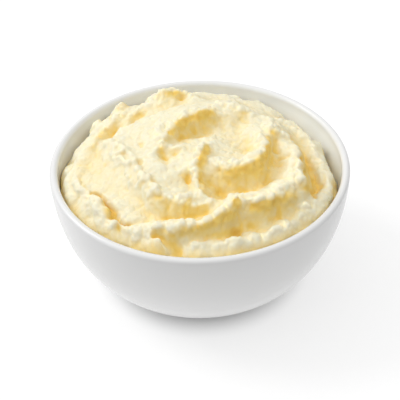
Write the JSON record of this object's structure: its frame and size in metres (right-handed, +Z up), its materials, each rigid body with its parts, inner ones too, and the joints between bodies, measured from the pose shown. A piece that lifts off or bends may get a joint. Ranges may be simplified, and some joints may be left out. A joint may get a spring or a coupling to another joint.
{
  "type": "mashed potato side in a bowl",
  "caption": "Round white porcelain bowl on a low foot ring, heaped with mashed potato that a spoon has swirled into a shallow well.",
  "frame": {"origin": "centre of the foot ring's underside, on the surface that the bowl stands on", "axes": "+Z up along the bowl's axis, +X to the right and -Y towards the diner"},
  "size_m": [0.15, 0.15, 0.0868],
  "materials": {
    "porcelain": "gloss",
    "potato": "satin"
  },
  "bodies": {
    "root": {"bowl": "porcelain", "mashed_potato": "potato"}
  },
  "joints": []
}
